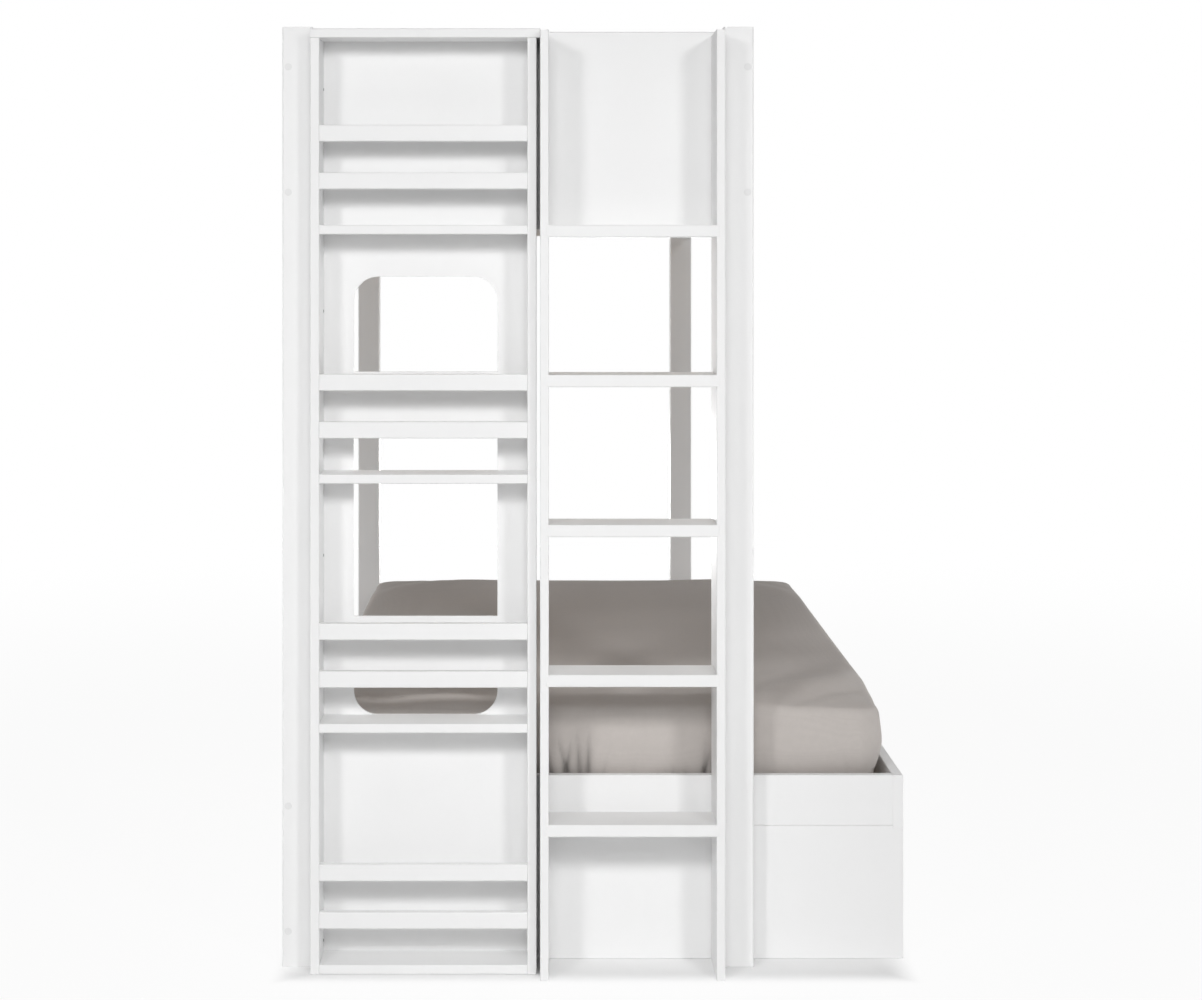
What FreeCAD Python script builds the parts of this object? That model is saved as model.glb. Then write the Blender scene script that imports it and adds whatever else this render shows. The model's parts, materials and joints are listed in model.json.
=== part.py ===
import FreeCAD
import Part
import math
import os

# Bunk bed with a ladder and a tall shallow bookcase side by side on its near short end,
# and a wider lower bed with two roll-out drawers in its closed base.
#
# Millimetres, +Z up. The near end faces -Y and the drawers open towards +X. Everything is laid
# out from the bunk's centre line (X), the near posts' front faces (Y) and the floor (Z). At the
# end the whole part moves so that its origin is the middle of its footprint on the floor.

# ---------------------------------------------------------------- driving dimensions

BOARD_EASE = 1.5             # eased edges of the painted boards

# Mattresses, which set the beds' inner sizes
MATTRESS_LENGTH = 1900.0
UPPER_MATTRESS_WIDTH = 900.0
LOWER_MATTRESS_WIDTH = 1220.0
UPPER_MATTRESS_HEIGHT = 150.0
LOWER_MATTRESS_HEIGHT = 210.0
UPPER_SIDE_PLAY = 14.0       # from the upper mattress to the panels along it
LOWER_SIDE_PLAY = 4.0        # from the lower mattress to the boards along it
MATTRESS_END_PLAY = 3.0      # from the mattress to the lower bed's end boards
MATTRESS_CORNER = 60.0       # corner radius seen from above
MATTRESS_TOP_ROUND = 22.0
MATTRESS_CROWN = 5.0         # rise of the top from its rounded edge to its middle
MATTRESS_CROWN_REACH = 260.0
MATTRESS_DRAW_IN = 5.0       # how far the sides pull in below and above their middle
MATTRESS_SEAT = 0.3          # between the mattress and the slats

# Bunk frame
POST_WIDTH = 62.0            # across the bed
POST_DEPTH = 57.0            # along the bed
POST_HEIGHT = 1950.0
POST_EASE = 2.5
SIDE_PANEL = 25.0            # thickness of the long panels
END_PANEL = 18.0             # thickness of the upper end panels
UPPER_PANEL_DROP = 5.0       # from the tops of the posts to the tops of the upper panels
UPPER_PANEL_HEIGHT = 416.0
LOW_PANEL_LIFT = 14.0
LOW_PANEL_HEIGHT = 380.0

# Bolts through the posts into the long panels
UPPER_BOLT_INSET = 78.0      # from a panel's edge to the bolt
LOW_BOLT_INSET = 60.0
BOLT_RADIUS = 3.5
BOLT_REACH = 60.0            # length of the bolt inside the panel
BOLT_HEAD_FLATS = 10.0       # across the flats of its six-sided head
BOLT_HEAD = 5.0
BOLT_PLAY = 0.25
COUNTERBORE = 11.0
CAP_RADIUS = 7.5
CAP_THICKNESS = 3.5
CAP_RISE = 0.6               # how far a cap stands out of the post

# Slats and what carries them
SLAT_THICKNESS = 18.0
SLAT_WIDTH = 70.0
SLAT_COUNT = 14
SLAT_PLAY = 2.0              # at each end of a slat
UPPER_CLEAT = 28.0           # square section
UPPER_CLEAT_LIFT = 14.0      # above the lower edge of the panel that carries it
LOWER_CLEAT_HEIGHT = 26.0
LOWER_CLEAT_WIDTH = 22.0
CENTRE_RAIL_WIDTH = 60.0

# Lower bed
LOWER_BOARD = 22.0           # thickness of its boards and base panels
BASE_HEIGHT = 279.0
END_BOARD_HEIGHT = 106.0
SIDE_BOARD_DROP = 5.5        # the side boards reach this far below the end boards

# Drawers
DRAWER_FRONT = 19.0          # thickness
DRAWER_FRONT_GAP = 2.5       # around each front
DRAWER_FRONT_LIFT = 10.0
DRAWER_STOP_GAP = 0.3        # from a closed front to the divider
DRAWER_DEPTH = 700.0
DRAWER_SIDE_GAP = 8.0        # from a drawer's box to the base panels
DRAWER_WALL = 15.0
DRAWER_WALL_TOP = 236.0
DRAWER_SKIRT = 8.0           # the walls reach this far below the bottom
DRAWER_BOTTOM = 6.0
GROOVE_DEPTH = 5.0
GROOVE_PLAY = 0.2
GRIP_WIDTH = 130.0
GRIP_DEPTH = 28.0
GRIP_RADIUS = 22.0

# Castors
WHEEL_RADIUS = 22.0
WHEEL_WIDTH = 18.0
AXLE_RADIUS = 3.0
AXLE_PLAY = 0.05
FORK_SHEET = 2.0
FORK_LENGTH = 46.0
FORK_TIP = 7.0               # from the axle to the cheeks' lower and side edges there
FORK_SIDE_GAP = 0.3          # from the wheel to a cheek
FORK_TOP_GAP = 4.0           # from the wheel to the plate
CASTOR_INSET = 60.0          # from the box's ends to the axle
CASTOR_SIDE_INSET = 45.0     # from the box's walls to the wheel's middle

# Bookcase
CASE_WIDTH = 465.0
CASE_DEPTH = 107.0
CASE_DROP = 8.0              # from the tops of the posts to the top of the bookcase
CASE_BOARD = 19.0
CASE_POST_GAP = 0.5
CASE_BACK = 7.0
CASE_REBATE = 9.0
SHELF_DROP = 404.0           # from the top of the bookcase to the top of its highest shelf
SHELF_PITCH = 512.0
SHELF_COUNT = 3
BOOK_RAIL_HEIGHT = 34.0
BOOK_RAIL_THICKNESS = 18.0
BOOK_RAIL_LIFTS = (74.0, 172.0)   # from a shelf's top to the undersides of its two rails
WINDOW_WIDTH = 301.0
WINDOW_DROP = 107.0          # from the highest shelf's top to the top of the windows
WINDOW_RADIUS = 50.0

# Ladder
SLOT = 7.2                   # between the bookcase and the ladder
LADDER_POST_GAP = 4.0
STRINGER = 18.0
STRINGER_DEPTH = 150.0
STRINGER_DROP = 14.0
STEP_COUNT = 5
FIRST_STEP = 317.0           # top of the lowest step
STEP_RISE = 305.25
STEP_THICKNESS = 25.0
STEP_DEPTH = 115.0
STEP_HOUSING = 5.0           # how deep a step sits in each stringer

# ---------------------------------------------------------------- derived places

# Across the bunk (X) and along it (Y)
bay_half = UPPER_MATTRESS_WIDTH / 2 + UPPER_SIDE_PLAY
post_out = bay_half + SIDE_PANEL
post_in = post_out - POST_WIDTH
bolt_x = post_out - SIDE_PANEL / 2
near_back = POST_DEPTH
lower_near_in = near_back + LOWER_BOARD
mattress_near = lower_near_in + MATTRESS_END_PLAY
mattress_far = mattress_near + MATTRESS_LENGTH
lower_far_in = mattress_far + MATTRESS_END_PLAY
far_front = lower_far_in + LOWER_BOARD
far_back = far_front + POST_DEPTH

# Upper bed (Z)
panel_top = POST_HEIGHT - UPPER_PANEL_DROP
panel_low = panel_top - UPPER_PANEL_HEIGHT
low_panel_top = LOW_PANEL_LIFT + LOW_PANEL_HEIGHT
upper_cleat_low = panel_low + UPPER_CLEAT_LIFT
upper_slat_low = upper_cleat_low + UPPER_CLEAT
upper_mattress_low = upper_slat_low + SLAT_THICKNESS + MATTRESS_SEAT
upper_near_in = near_back + END_PANEL
upper_far_in = far_front - END_PANEL

# Lower bed
lower_left = -bay_half
lower_left_in = lower_left + LOWER_BOARD
lower_right_in = lower_left_in + LOWER_MATTRESS_WIDTH + 2 * LOWER_SIDE_PLAY
lower_right = lower_right_in + LOWER_BOARD
lower_middle = (lower_left + lower_right) / 2
lower_top = BASE_HEIGHT + END_BOARD_HEIGHT
side_board_low = BASE_HEIGHT - SIDE_BOARD_DROP
lower_slat_low = BASE_HEIGHT + LOWER_CLEAT_HEIGHT
lower_mattress_low = lower_slat_low + SLAT_THICKNESS + MATTRESS_SEAT
divider_near = (near_back + far_front - LOWER_BOARD) / 2
divider_far = divider_near + LOWER_BOARD

# Drawers
front_back = lower_right - DRAWER_FRONT
box_back = front_back - DRAWER_DEPTH
axle_height = WHEEL_RADIUS
bottom_low = 2 * WHEEL_RADIUS + FORK_TOP_GAP + FORK_SHEET
front_top = side_board_low - DRAWER_FRONT_GAP
castor_columns = {"front": front_back - CASTOR_INSET, "back": box_back + CASTOR_INSET}
drawer_bays = ((lower_near_in, divider_near), (divider_far, lower_far_in))

# Bookcase
case_left = -post_in + CASE_POST_GAP
case_right = case_left + CASE_WIDTH
case_left_in = case_left + CASE_BOARD
case_right_in = case_right - CASE_BOARD
case_front = near_back - CASE_DEPTH
case_back = near_back - CASE_BACK
case_top = POST_HEIGHT - CASE_DROP
case_top_low = case_top - CASE_BOARD
case_middle = (case_left + case_right) / 2
shelf_tops = [case_top - SHELF_DROP - SHELF_PITCH * step for step in reversed(range(SHELF_COUNT))]
rail_floors = [CASE_BOARD] + shelf_tops

# Ladder
ladder_left = case_right + SLOT
ladder_right = post_in - LADDER_POST_GAP
ladder_front = near_back - STRINGER_DEPTH
stringer_top = POST_HEIGHT - STRINGER_DROP
step_tops = [FIRST_STEP + STEP_RISE * step for step in range(STEP_COUNT)]

# ---------------------------------------------------------------- helpers

AXES = {"x": FreeCAD.Vector(1, 0, 0), "y": FreeCAD.Vector(0, 1, 0), "z": FreeCAD.Vector(0, 0, 1)}


def block(x, y, z):
    """A plain block between pairs of limits."""
    corner = FreeCAD.Vector(x[0], y[0], z[0])
    return Part.makeBox(x[1] - x[0], y[1] - y[0], z[1] - z[0], corner)


def edges_along(solid, axis):
    """The straight edges of a solid that run along one axis."""
    direction = AXES[axis]
    return [edge for edge in solid.Edges
            if abs((edge.Vertexes[-1].Point - edge.Vertexes[0].Point).normalize().dot(direction)) > 0.99]


def board(x, y, z, axis, ease=BOARD_EASE):
    """A board whose edges along one axis are eased."""
    solid = block(x, y, z)
    return solid.makeChamfer(ease, edges_along(solid, axis))


def rod(radius, start, length, axis):
    """A cylinder from a centre point, along one axis."""
    return Part.makeCylinder(radius, length, FreeCAD.Vector(*start), AXES[axis])


def rounded_outline(u, v, radii, place):
    """A closed wire of straight sides and quarter-round or square corners, anticlockwise."""
    signs = ((1, 1), (-1, 1), (-1, -1), (1, -1))
    corners = ((u[0], v[0]), (u[1], v[0]), (u[1], v[1]), (u[0], v[1]))
    arcs = []
    for number, (corner, sign, radius) in enumerate(zip(corners, signs, radii)):
        middle = (corner[0] + sign[0] * radius, corner[1] + sign[1] * radius)
        angles = [math.radians(180 + 90 * number + turn) for turn in (0, 45, 90)]
        arcs.append([place(middle[0] + radius * math.cos(angle), middle[1] + radius * math.sin(angle))
                     for angle in angles])
    edges = []
    for number, (points, radius) in enumerate(zip(arcs, radii)):
        if radius:
            edges.append(Part.Arc(*points).toShape())
        edges.append(Part.LineSegment(points[2], arcs[(number + 1) % 4][0]).toShape())
    return Part.Wire(edges)


def spread(count, width, low, high):
    """Low sides of equal pieces, with equal gaps between them and at both ends."""
    gap = (high - low - count * width) / (count + 1)
    return [low + gap + number * (width + gap) for number in range(count)]


def mirrored(low, high):
    """A pair of limits and its mirror image across the bunk's centre line."""
    return {"left": (-high, -low), "right": (low, high)}


# ---------------------------------------------------------------- bunk frame

def bolt_places():
    """Each bolt's side, height and end of the bunk."""
    heights = {
        "right": [panel_low + UPPER_BOLT_INSET, panel_top - UPPER_BOLT_INSET],
        "left": [panel_low + UPPER_BOLT_INSET, panel_top - UPPER_BOLT_INSET,
                 LOW_PANEL_LIFT + LOW_BOLT_INSET, low_panel_top - LOW_BOLT_INSET],
    }
    x_of = {"left": -bolt_x, "right": bolt_x}
    return [(x_of[side], z, end) for side in heights for z in heights[side] for end in ("near", "far")]


def along_bolt(end, depth, length):
    """Low Y of a stretch of a bolt, counted inwards from the post's outer face."""
    return depth if end == "near" else far_back - depth - length


def bolt_hole(x, z, end):
    """The bolt's counterbore and hole in the post, and its hole in the panel."""
    whole = POST_DEPTH + BOLT_REACH
    wide = rod(CAP_RADIUS, (x, along_bolt(end, 0, COUNTERBORE), z), COUNTERBORE, "y")
    narrow = rod(BOLT_RADIUS + BOLT_PLAY, (x, along_bolt(end, 0, whole), z), whole, "y")
    return wide.fuse(narrow)


def drilled(solid):
    """A solid with the holes of every bolt that meets it."""
    holes = [bolt_hole(*place) for place in bolt_places()]
    meeting = [hole for hole in holes if hole.BoundBox.intersect(solid.BoundBox)]
    return solid.cut(meeting)


def posts():
    """Four posts, drilled for the bolts."""
    nodes = {}
    for side, x in mirrored(post_in, post_out).items():
        for end, y in {"near": (0, near_back), "far": (far_front, far_back)}.items():
            nodes[f"post_{end}_{side}"] = [drilled(board(x, y, (0, POST_HEIGHT), "z", POST_EASE))]
    return nodes


def long_panels():
    """Long panels between the posts: a high pair round the upper bed and a low one on the left."""
    nodes = {}
    span = (near_back, far_front)
    for side, x in mirrored(bay_half, post_out).items():
        panel = board(x, span, (panel_low, panel_top), "y")
        nodes[f"upper_side_panel_{side}"] = [drilled(panel)]
    panel = board((-post_out, -bay_half), span, (LOW_PANEL_LIFT, low_panel_top), "y")
    nodes["low_side_panel_left"] = [drilled(panel)]
    return nodes


def end_panels():
    """Upper end panels, screwed to the inner faces of the posts from inside the bed."""
    width = (-bay_half, bay_half)
    height = (panel_low, panel_top)
    return {"upper_end_panel_near": [board(width, (near_back, upper_near_in), height, "x")],
            "upper_end_panel_far": [board(width, (upper_far_in, far_front), height, "x")]}


def hexagon(x, y, z, flats):
    """A six-sided face across Y, with its flats on either side of the centre."""
    corner = flats / math.sqrt(3)
    angles = [math.radians(60 * number) for number in range(7)]
    points = [FreeCAD.Vector(x + corner * math.cos(angle), y, z + corner * math.sin(angle))
              for angle in angles]
    return Part.Face(Part.makePolygon(points))


def bolt_set():
    """Bolts from the posts into the ends of the panels, each under a round cap."""
    bolts = []
    caps = []
    for x, z, end in bolt_places():
        head_y = along_bolt(end, COUNTERBORE - BOLT_HEAD, BOLT_HEAD)
        head = hexagon(x, head_y, z, BOLT_HEAD_FLATS).extrude(AXES["y"] * BOLT_HEAD)
        length = POST_DEPTH + BOLT_REACH - COUNTERBORE
        shank = rod(BOLT_RADIUS, (x, along_bolt(end, COUNTERBORE, length), z), length, "y")
        bolts.append(head.fuse(shank))
        caps.append(rod(CAP_RADIUS, (x, along_bolt(end, -CAP_RISE, CAP_THICKNESS), z), CAP_THICKNESS, "y"))
    return {"bed_bolts": bolts, "bolt_caps": caps}


# ---------------------------------------------------------------- slats and mattresses

def slats(x, y, low):
    """Slats across a bed, evenly spread along it."""
    length = (x[0] + SLAT_PLAY, x[1] - SLAT_PLAY)
    return [block(length, (start, start + SLAT_WIDTH), (low, low + SLAT_THICKNESS))
            for start in spread(SLAT_COUNT, SLAT_WIDTH, *y)]


def mattress(x, y, low, height, crown, turns):
    """A mattress with sides that draw in, an upper edge rounded in turns and a crowned top."""
    round_low = height - crown - MATTRESS_TOP_ROUND
    profile = [(0, 0), (0, height / 2)]
    for angle in [math.radians(turn) for turn in turns]:
        profile.append((MATTRESS_TOP_ROUND * (1 - math.cos(angle)),
                        round_low + MATTRESS_TOP_ROUND * math.sin(angle)))
    if crown:
        profile.append((MATTRESS_TOP_ROUND + MATTRESS_CROWN_REACH, height))
    sections = []
    for inset, rise in profile:
        inset += MATTRESS_DRAW_IN * (1 - math.sin(math.pi * rise / height))
        across = (x[0] + inset, x[1] - inset)
        along = (y[0] + inset, y[1] - inset)
        sections.append(rounded_outline(across, along, [MATTRESS_CORNER] * 4,
                                        lambda u, v, z=low + rise: FreeCAD.Vector(u, v, z)))
    return Part.makeLoft(sections, True, True)


def upper_bed():
    """Cleats on the long panels, slats on the cleats and the mattress on the slats."""
    length = (upper_near_in, upper_far_in)
    cleat_height = (upper_cleat_low, upper_slat_low)
    cleats = [board(x, length, cleat_height, "y")
              for x in mirrored(bay_half - UPPER_CLEAT, bay_half).values()]
    half = UPPER_MATTRESS_WIDTH / 2
    return {"upper_cleats": cleats,
            "upper_slats": slats((-bay_half, bay_half), length, upper_slat_low),
            "upper_mattress": [mattress((-half, half), (mattress_near, mattress_far),
                                        upper_mattress_low, UPPER_MATTRESS_HEIGHT, 0, (0, 90))]}


# ---------------------------------------------------------------- lower bed

def lower_boards():
    """End boards between side boards that reach a little lower, all round the mattress."""
    inner = (lower_left_in, lower_right_in)
    height = (BASE_HEIGHT, lower_top)
    length = (near_back, far_front)
    sides = {"left": (lower_left, lower_left_in), "right": (lower_right_in, lower_right)}
    nodes = {f"lower_side_board_{side}": [board(x, length, (side_board_low, lower_top), "y")]
             for side, x in sides.items()}
    nodes["lower_end_board_near"] = [board(inner, (near_back, lower_near_in), height, "x")]
    nodes["lower_end_board_far"] = [board(inner, (lower_far_in, far_front), height, "x")]
    return nodes


def base_end_panel(y):
    """A full-width base panel, notched at its top corners for the side boards."""
    panel = block((lower_left, lower_right), y, (0, BASE_HEIGHT))
    notches = [block(x, y, (side_board_low, BASE_HEIGHT))
               for x in ((lower_left, lower_left_in), (lower_right_in, lower_right))]
    return panel.cut(notches)


def base():
    """The closed base: two end panels, a back panel and a divider between the drawers."""
    back = block((lower_left, lower_left_in), (lower_near_in, lower_far_in), (0, side_board_low))
    thickness = (divider_near, divider_far)
    divider = block((lower_left_in, front_back - DRAWER_STOP_GAP), thickness, (0, side_board_low))
    neck = block((lower_left_in, lower_right_in), thickness, (side_board_low, BASE_HEIGHT))
    return {"base_end_panel_near": [base_end_panel((near_back, lower_near_in))],
            "base_end_panel_far": [base_end_panel((lower_far_in, far_front))],
            "base_back_panel": [back],
            "base_divider": [divider.fuse(neck).removeSplitter()]}


def lower_bed():
    """Cleats and a centre rail inside the boards, slats across them and the mattress on top."""
    length = (lower_near_in, lower_far_in)
    height = (BASE_HEIGHT, lower_slat_low)
    cleats = [board(x, length, height, "y")
              for x in ((lower_left_in, lower_left_in + LOWER_CLEAT_WIDTH),
                        (lower_right_in - LOWER_CLEAT_WIDTH, lower_right_in))]
    rail_x = (lower_middle - CENTRE_RAIL_WIDTH / 2, lower_middle + CENTRE_RAIL_WIDTH / 2)
    width = (lower_middle - LOWER_MATTRESS_WIDTH / 2, lower_middle + LOWER_MATTRESS_WIDTH / 2)
    return {"lower_cleats": cleats,
            "lower_centre_rail": [board(rail_x, length, height, "y")],
            "lower_slats": slats((lower_left_in, lower_right_in), length, lower_slat_low),
            "lower_mattress": [mattress(width, (mattress_near, mattress_far), lower_mattress_low,
                                        LOWER_MATTRESS_HEIGHT, MATTRESS_CROWN, (0, 45, 90))]}


# ---------------------------------------------------------------- drawers

def drawer_front(y, groove):
    """A drawer's front, with a rounded finger grip in its top edge."""
    front = board((front_back, lower_right), y, (DRAWER_FRONT_LIFT, front_top), "y")
    middle = (y[0] + y[1]) / 2
    grip_y = (middle - GRIP_WIDTH / 2, middle + GRIP_WIDTH / 2)
    grip_z = (front_top - GRIP_DEPTH, front_top + GRIP_DEPTH)
    outline = rounded_outline(grip_y, grip_z, [GRIP_RADIUS] * 4,
                              lambda u, v: FreeCAD.Vector(front_back, u, v))
    grip = Part.Face(outline).extrude(AXES["x"] * DRAWER_FRONT)
    return front.cut([grip, groove])


def front_limits(number, bay):
    """Low and high Y of a drawer's front, which covers its half of the divider's edge."""
    low = bay[0] + DRAWER_FRONT_GAP if number == 1 else bay[0] - LOWER_BOARD / 2 + DRAWER_FRONT_GAP / 2
    high = bay[1] - DRAWER_FRONT_GAP if number == 2 else bay[1] + LOWER_BOARD / 2 - DRAWER_FRONT_GAP / 2
    return low, high


def drawer_bottom(inner, play):
    """The bottom panel between the walls' inner faces, or with some play the groove that takes it."""
    reach = GROOVE_DEPTH + play
    return block((box_back + DRAWER_WALL - reach, front_back + reach), (inner[0] - reach, inner[1] + reach),
                 (bottom_low, bottom_low + DRAWER_BOTTOM + play))


def drawer(number, bay):
    """A drawer's front, walls, grooved-in bottom and castors, between the base panels of its bay."""
    outer = (bay[0] + DRAWER_SIDE_GAP, bay[1] - DRAWER_SIDE_GAP)
    inner = (outer[0] + DRAWER_WALL, outer[1] - DRAWER_WALL)
    height = (bottom_low - DRAWER_SKIRT, DRAWER_WALL_TOP)
    groove = drawer_bottom(inner, GROOVE_PLAY)
    walls = [block((box_back, front_back), (outer[0], inner[0]), height),
             block((box_back, front_back), (inner[1], outer[1]), height),
             block((box_back, box_back + DRAWER_WALL), inner, height)]
    rows = (inner[0] + CASTOR_SIDE_INSET, inner[1] - CASTOR_SIDE_INSET)
    nodes = {f"drawer_{number}_front": [drawer_front(front_limits(number, bay), groove)],
             f"drawer_{number}_walls": [wall.cut(groove) for wall in walls],
             f"drawer_{number}_bottom": [drawer_bottom(inner, 0)],
             f"drawer_{number}_castor_forks": [fork(x, y) for x in castor_columns.values() for y in rows]}
    for column, x in castor_columns.items():
        nodes[f"drawer_{number}_{column}_wheels"] = [wheel(x, y) for y in rows]
    return nodes


def fork(x, y):
    """A fixed castor's folded steel fork with its riveted axle."""
    reach = WHEEL_WIDTH / 2 + FORK_SIDE_GAP
    outer = reach + FORK_SHEET
    plate_low = bottom_low - FORK_SHEET
    plate = block((x - FORK_LENGTH / 2, x + FORK_LENGTH / 2), (y - outer, y + outer), (plate_low, bottom_low))
    outline = ((-FORK_LENGTH / 2, plate_low), (-FORK_TIP, axle_height), (-FORK_TIP, axle_height - FORK_TIP),
               (FORK_TIP, axle_height - FORK_TIP), (FORK_TIP, axle_height), (FORK_LENGTH / 2, plate_low))
    points = [FreeCAD.Vector(x + across, y, height) for across, height in outline]
    cheek = Part.Face(Part.makePolygon(points + points[:1])).extrude(AXES["y"] * FORK_SHEET)
    cheeks = [cheek.translated(AXES["y"] * offset) for offset in (-outer, reach)]
    axle = rod(AXLE_RADIUS, (x, y - reach, axle_height), 2 * reach, "y")
    return plate.fuse(cheeks + [axle]).removeSplitter()


def wheel(x, y):
    """A wheel with a bore that runs on its axle."""
    start = (x, y - WHEEL_WIDTH / 2, axle_height)
    bore = rod(AXLE_RADIUS + AXLE_PLAY, start, WHEEL_WIDTH, "y")
    return rod(WHEEL_RADIUS, start, WHEEL_WIDTH, "y").cut(bore)


# ---------------------------------------------------------------- bookcase

def case_carcass():
    """Sides, top and bottom with a rebate for the back; the top reaches over the slot to the ladder."""
    rebate = block((case_left_in - CASE_REBATE, case_right_in + CASE_REBATE), (case_back, near_back),
                   (CASE_BOARD - CASE_REBATE, case_top_low + CASE_REBATE))
    depth = (case_front, near_back)
    boards = {
        "bookcase_side_left": board((case_left, case_left_in), depth, (0, case_top_low), "z"),
        "bookcase_side_right": board((case_right_in, case_right), depth, (0, case_top_low), "z"),
        "bookcase_top": board((case_left, ladder_left), depth, (case_top_low, case_top), "x"),
        "bookcase_bottom": board((case_left_in, case_right_in), depth, (0, CASE_BOARD), "x"),
    }
    return {name: [solid.cut(rebate)] for name, solid in boards.items()}


def window_limits():
    """Low and high edges of the back panel's three windows, which line up with the book rails."""
    low_lift, high_lift = BOOK_RAIL_LIFTS
    edges = [shelf_tops[0]]
    for top in shelf_tops[:2]:
        edges += [top + low_lift, top + high_lift + BOOK_RAIL_HEIGHT]
    edges.append(shelf_tops[-1] - WINDOW_DROP)
    return list(zip(edges[::2], edges[1::2]))


def case_back_panel():
    """The thin back panel with its three windows, rounded only at the outermost corners."""
    panel = block((case_left_in - CASE_REBATE, case_right_in + CASE_REBATE), (case_back, near_back),
                  (CASE_BOARD - CASE_REBATE, case_top_low + CASE_REBATE))
    width = (case_middle - WINDOW_WIDTH / 2, case_middle + WINDOW_WIDTH / 2)
    corner_sets = ([WINDOW_RADIUS] * 2 + [0] * 2, [0] * 4, [0] * 2 + [WINDOW_RADIUS] * 2)
    cuts = []
    for height, radii in zip(window_limits(), corner_sets):
        outline = rounded_outline(width, height, radii, lambda u, v: FreeCAD.Vector(u, case_back, v))
        cuts.append(Part.Face(outline).extrude(AXES["y"] * CASE_BACK))
    return panel.cut(cuts)


def bookcase():
    """Shelves and book rails between the sides, in front of the back panel."""
    nodes = case_carcass()
    inner = (case_left_in, case_right_in)
    nodes["bookcase_back"] = [case_back_panel()]
    shelf_depth = (case_front, case_back)
    for number, top in enumerate(shelf_tops, 1):
        nodes[f"bookcase_shelf_{number}"] = [board(inner, shelf_depth, (top - CASE_BOARD, top), "x")]
    rail_depth = (case_front, case_front + BOOK_RAIL_THICKNESS)
    for number, floor in enumerate(rail_floors, 1):
        lows = [floor + lift for lift in BOOK_RAIL_LIFTS]
        nodes[f"book_rails_{number}"] = [board(inner, rail_depth, (low, low + BOOK_RAIL_HEIGHT), "x")
                                         for low in lows]
    return nodes


# ---------------------------------------------------------------- ladder

def ladder():
    """Two deep stringers with flat steps housed in them, flush at the front."""
    nodes = {}
    steps = []
    for number, top in enumerate(step_tops, 1):
        step = board((ladder_left + STRINGER - STEP_HOUSING, ladder_right - STRINGER + STEP_HOUSING),
                     (ladder_front, ladder_front + STEP_DEPTH), (top - STEP_THICKNESS, top), "x")
        nodes[f"ladder_step_{number}"] = [step]
        steps.append(step)
    stringers = {"left": (ladder_left, ladder_left + STRINGER),
                 "right": (ladder_right - STRINGER, ladder_right)}
    for side, x in stringers.items():
        stringer = board(x, (ladder_front, near_back), (0, stringer_top), "z")
        nodes[f"ladder_stringer_{side}"] = [stringer.cut(steps)]
    return nodes


# ---------------------------------------------------------------- whole part

def build():
    """Every node's solids, laid out from the bunk's centre line."""
    nodes = {}
    for make in (posts, long_panels, end_panels, bolt_set, upper_bed, lower_boards, base, lower_bed,
                 bookcase, ladder):
        nodes.update(make())
    for number, bay in enumerate(drawer_bays, 1):
        nodes.update(drawer(number, bay))
    return nodes


def origin_shift(nodes):
    """The move that puts the origin at the middle of the footprint, on the floor."""
    box = Part.makeCompound([solid for solids in nodes.values() for solid in solids]).BoundBox
    return FreeCAD.Vector(-(box.XMin + box.XMax) / 2, -(box.YMin + box.YMax) / 2, -box.ZMin)


def save(nodes, shift):
    """One STEP file per node."""
    os.makedirs("parts", exist_ok=True)
    for name, solids in nodes.items():
        moved = [solid.translated(shift) for solid in solids]
        shape = moved[0] if len(moved) == 1 else Part.makeCompound(moved)
        shape.exportStep(f"parts/{name}.step")


nodes = build()
shift = origin_shift(nodes)
save(nodes, shift)
print(len(nodes), "nodes; shift", [round(value, 3) for value in shift])
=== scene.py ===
# %% [markdown]
# # A bunk bed with a ladder and a bookcase on its end
#
# The bed is painted board on four posts. Two flat beds sit in it, a tall shallow bookcase and a
# ladder stand side by side on its near end, and two drawers roll out from under the wider lower
# bed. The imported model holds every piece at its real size. This notebook gives it its looks: eased
# edges, paint, pine, cloth over foam, screws and castors, and then light and a camera.

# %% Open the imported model
import bmesh
import bpy
import json
import math
from mathutils import Matrix, Vector, noise


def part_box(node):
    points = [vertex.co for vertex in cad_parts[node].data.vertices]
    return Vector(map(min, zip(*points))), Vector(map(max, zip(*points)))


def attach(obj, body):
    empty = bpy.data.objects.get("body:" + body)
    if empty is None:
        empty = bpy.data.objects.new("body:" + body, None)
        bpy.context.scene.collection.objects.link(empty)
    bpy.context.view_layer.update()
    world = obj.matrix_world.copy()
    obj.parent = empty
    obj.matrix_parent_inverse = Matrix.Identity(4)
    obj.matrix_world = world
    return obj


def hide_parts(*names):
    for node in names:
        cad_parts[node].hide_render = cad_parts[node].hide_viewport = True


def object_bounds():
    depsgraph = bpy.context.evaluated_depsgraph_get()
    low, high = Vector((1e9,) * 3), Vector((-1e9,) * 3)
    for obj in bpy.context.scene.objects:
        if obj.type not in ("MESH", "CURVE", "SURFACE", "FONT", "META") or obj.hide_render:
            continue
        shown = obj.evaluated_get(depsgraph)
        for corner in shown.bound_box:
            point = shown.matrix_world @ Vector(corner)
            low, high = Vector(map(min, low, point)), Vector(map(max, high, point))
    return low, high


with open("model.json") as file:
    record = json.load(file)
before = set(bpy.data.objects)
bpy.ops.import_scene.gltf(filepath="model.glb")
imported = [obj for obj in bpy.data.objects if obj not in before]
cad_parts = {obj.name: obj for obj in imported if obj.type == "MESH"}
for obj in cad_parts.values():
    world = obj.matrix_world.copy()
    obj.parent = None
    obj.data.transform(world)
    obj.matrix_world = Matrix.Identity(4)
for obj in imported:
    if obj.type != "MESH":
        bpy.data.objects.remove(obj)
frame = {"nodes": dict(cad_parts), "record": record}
cad_low, cad_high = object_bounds()
MM = 0.001
print("size of the packed model:", [round(side, 3) for side in cad_high - cad_low])

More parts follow.
